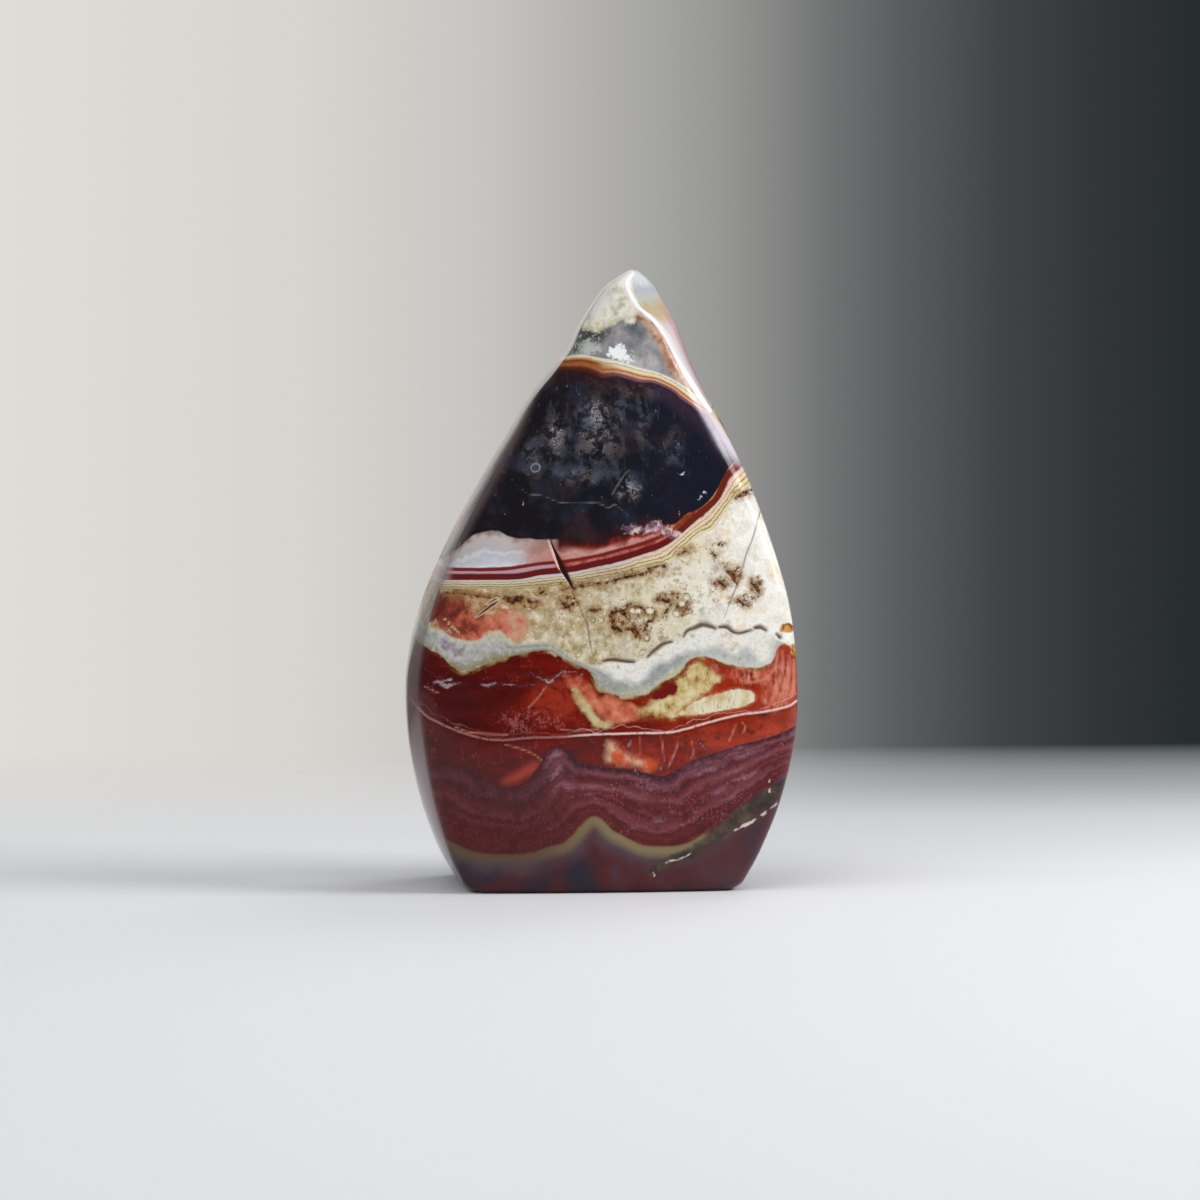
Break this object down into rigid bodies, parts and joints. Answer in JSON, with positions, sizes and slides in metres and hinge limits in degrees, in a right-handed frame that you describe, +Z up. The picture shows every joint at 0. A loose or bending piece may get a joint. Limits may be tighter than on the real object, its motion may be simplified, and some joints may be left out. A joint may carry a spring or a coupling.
{
  "type": "crazy lace agate teardrop",
  "caption": "Polished agate teardrop: one flame-shaped stone with two broad faces, a slanted tip facet and a flat cut base to stand on.",
  "frame": {"origin": "on the surface that the stone stands on, under the middle of its width and thickness", "axes": "+Z up along the stone to its tip; +X to the right as the polished front is seen; the front faces -Y"},
  "size_m": [0.05, 0.028, 0.08],
  "materials": {
    "polished_agate": "high polish; red and burgundy jasper below, cream matrix in the middle, a near-black chalcedony window above, laced with fine bands"
  },
  "bodies": {
    "root": {"agate_stone": "polished_agate"}
  },
  "joints": []
}
